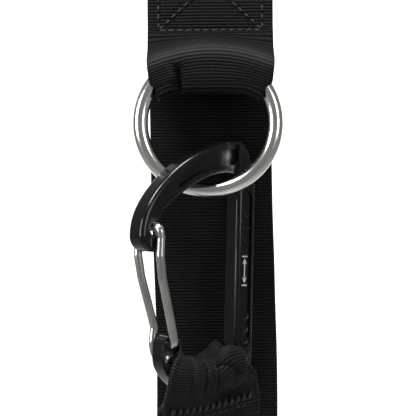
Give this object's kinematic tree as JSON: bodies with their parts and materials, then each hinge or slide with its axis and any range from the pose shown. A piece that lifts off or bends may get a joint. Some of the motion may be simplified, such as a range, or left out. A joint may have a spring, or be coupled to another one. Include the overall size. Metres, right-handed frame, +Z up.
{
  "type": "sewn webbing strap with ring and wire-gate carabiner",
  "caption": "Flat webbing strap with a sewn eye and a ring tab; a steel ring carries a wire-gate carabiner with a second webbing sling.",
  "frame": {"origin": "centre of the sewn eye at the top of the main strap", "axes": "+X across the webbing along the bar the eye takes, +Y from the front face to the back, +Z up along the hanging strap"},
  "size_m": [0.0513, 0.049, 0.2766],
  "materials": {
    "black_webbing": "matt ribbed weave",
    "black_thread": "bonded sewing thread",
    "polished_steel": "polished",
    "black_anodised": "glossy anodised",
    "stainless_wire": "satin drawn wire"
  },
  "bodies": {
    "strap": {"main_strap": "black_webbing", "ring_tab_sewn": "black_webbing", "tab_box_stitch": "black_thread", "tab_box_bobbin": "black_thread", "tail_hem_tack": "black_thread"},
    "tab_loop": {"ring_tab_loop": "black_webbing"},
    "ring": {"o_ring": "polished_steel"},
    "carabiner": {"carabiner_body": "black_anodised"},
    "gate": {"gate_wire": "stainless_wire"},
    "sling": {"sling": "black_webbing", "sling_bar_tack": "black_thread", "sling_box_stitch": "black_thread", "sling_box_bobbin": "black_thread"}
  },
  "joints": [
    {"name": "tab_swing", "type": "hinge", "parent": "strap", "child": "tab_loop", "pos_m": [0, -0.0057, -0.065], "axis": [-1, 0, 0], "range_deg": [0, 35]},
    {"name": "ring_swing", "type": "hinge", "parent": "tab_loop", "child": "ring", "pos_m": [-0.001, -0.00831, -0.0801], "axis": [-1, 0, 0], "range_deg": [0, 9]},
    {"name": "carabiner_swing", "type": "hinge", "parent": "ring", "child": "carabiner", "pos_m": [-0.001, -0.00831, -0.1143], "axis": [-1, 0, 0], "range_deg": [0, 18]},
    {"name": "gate_open", "type": "hinge", "parent": "carabiner", "child": "gate", "pos_m": [-0.01508, -0.02121, -0.16539], "axis": [-0.6428, 0.766, 0], "range_deg": [0, 28], "stiffness_Nm_per_rad": 0.15, "springref_deg": -5.73},
    {"name": "sling_swing", "type": "hinge", "parent": "carabiner", "child": "sling", "pos_m": [0.00077, -0.00791, -0.17353], "axis": [-0.7654, -0.6423, 0.0401], "range_deg": [0, 12]}
  ]
}
